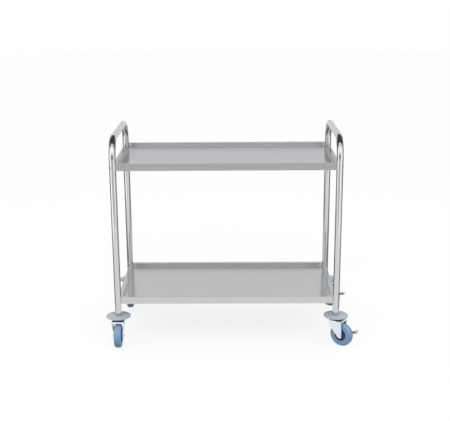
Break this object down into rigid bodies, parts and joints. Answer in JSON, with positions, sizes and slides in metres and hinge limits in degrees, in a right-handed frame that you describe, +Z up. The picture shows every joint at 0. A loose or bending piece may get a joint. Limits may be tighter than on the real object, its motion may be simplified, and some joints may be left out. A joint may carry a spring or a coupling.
{
  "type": "serving trolley",
  "caption": "Stainless serving trolley: shallow trays bolted between bent tube end frames with push handles, on swivel castors with bumper discs.",
  "frame": {"origin": "on the floor, midway between the four legs", "axes": "+X along the trolley to its braked castors' end, +Y from the front long side to the rear one, +Z up"},
  "size_m": [1.0709, 0.595, 0.9],
  "materials": {
    "polished_tube": "polished stainless tube",
    "tray_sheet": "satin stainless sheet",
    "bolt_steel": "plain stainless",
    "zinc_steel": "bright zinc plate",
    "black_plastic": "dark moulded",
    "bumper_rubber": "grey-blue moulded",
    "core_plastic": "blue-grey moulded",
    "tyre_rubber": "grey-blue thermoplastic rubber"
  },
  "bodies": {
    "frame": {"left_end_frame": "polished_tube", "right_end_frame": "polished_tube", "top_tray": "tray_sheet", "low_tray": "tray_sheet", "top_tray_stiffener": "tray_sheet", "low_tray_stiffener": "tray_sheet", "tray_bolts": "bolt_steel", "tray_washers": "bolt_steel", "tray_nuts": "bolt_steel", "leg_plugs": "black_plastic", "stem_nuts": "zinc_steel", "bumper_front_left": "bumper_rubber", "stem_front_left": "zinc_steel", "upper_race_front_left": "black_plastic", "bumper_rear_left": "bumper_rubber", "stem_rear_left": "zinc_steel", "upper_race_rear_left": "black_plastic", "bumper_front_right": "bumper_rubber", "stem_front_right": "zinc_steel", "upper_race_front_right": "black_plastic", "bumper_rear_right": "bumper_rubber", "stem_rear_right": "zinc_steel", "upper_race_rear_right": "black_plastic"},
    "castor_front_left": {"fork_front_left": "zinc_steel", "balls_front_left": "bolt_steel", "axle_sleeve_front_left": "zinc_steel", "axle_bolt_front_left": "zinc_steel", "axle_nut_front_left": "zinc_steel"},
    "wheel_front_left": {"wheel_core_front_left": "core_plastic", "tyre_front_left": "tyre_rubber"},
    "castor_rear_left": {"fork_rear_left": "zinc_steel", "balls_rear_left": "bolt_steel", "axle_sleeve_rear_left": "zinc_steel", "axle_bolt_rear_left": "zinc_steel", "axle_nut_rear_left": "zinc_steel"},
    "wheel_rear_left": {"wheel_core_rear_left": "core_plastic", "tyre_rear_left": "tyre_rubber"},
    "castor_front_right": {"fork_front_right": "zinc_steel", "balls_front_right": "bolt_steel", "axle_sleeve_front_right": "zinc_steel", "axle_bolt_front_right": "zinc_steel", "axle_nut_front_right": "zinc_steel", "brake_cam_front_right": "zinc_steel"},
    "wheel_front_right": {"wheel_core_front_right": "core_plastic", "tyre_front_right": "tyre_rubber"},
    "brake_front_right": {"brake_lever_front_right": "zinc_steel"},
    "castor_rear_right": {"fork_rear_right": "zinc_steel", "balls_rear_right": "bolt_steel", "axle_sleeve_rear_right": "zinc_steel", "axle_bolt_rear_right": "zinc_steel", "axle_nut_rear_right": "zinc_steel", "brake_cam_rear_right": "zinc_steel"},
    "wheel_rear_right": {"wheel_core_rear_right": "core_plastic", "tyre_rear_right": "tyre_rubber"},
    "brake_rear_right": {"brake_lever_rear_right": "zinc_steel"}
  },
  "joints": [
    {"name": "swivel_front_left", "type": "hinge", "parent": "frame", "child": "castor_front_left", "pos_m": [-0.461, -0.231, 0.115], "axis": [0, 0, 1], "continuous": true},
    {"name": "roll_front_left", "type": "hinge", "parent": "castor_front_left", "child": "wheel_front_left", "pos_m": [-0.461, -0.262, 0.05], "axis": [1, 0, 0], "continuous": true},
    {"name": "swivel_rear_left", "type": "hinge", "parent": "frame", "child": "castor_rear_left", "pos_m": [-0.461, 0.231, 0.115], "axis": [0, 0, 1], "continuous": true},
    {"name": "roll_rear_left", "type": "hinge", "parent": "castor_rear_left", "child": "wheel_rear_left", "pos_m": [-0.461, 0.2, 0.05], "axis": [1, 0, 0], "continuous": true},
    {"name": "swivel_front_right", "type": "hinge", "parent": "frame", "child": "castor_front_right", "pos_m": [0.461, -0.231, 0.115], "axis": [0, 0, 1], "continuous": true},
    {"name": "roll_front_right", "type": "hinge", "parent": "castor_front_right", "child": "wheel_front_right", "pos_m": [0.48608, -0.24922, 0.05], "axis": [0.5878, 0.809, 0], "continuous": true},
    {"name": "brake_front_right", "type": "hinge", "parent": "castor_front_right", "child": "brake_front_right", "pos_m": [0.48608, -0.24922, 0.05], "axis": [0.5878, 0.809, 0], "range_deg": [0, 30]},
    {"name": "swivel_rear_right", "type": "hinge", "parent": "frame", "child": "castor_rear_right", "pos_m": [0.461, 0.231, 0.115], "axis": [0, 0, 1], "continuous": true},
    {"name": "roll_rear_right", "type": "hinge", "parent": "castor_rear_right", "child": "wheel_rear_right", "pos_m": [0.48608, 0.21278, 0.05], "axis": [0.5878, 0.809, 0], "continuous": true},
    {"name": "brake_rear_right", "type": "hinge", "parent": "castor_rear_right", "child": "brake_rear_right", "pos_m": [0.48608, 0.21278, 0.05], "axis": [0.5878, 0.809, 0], "range_deg": [0, 30]}
  ]
}
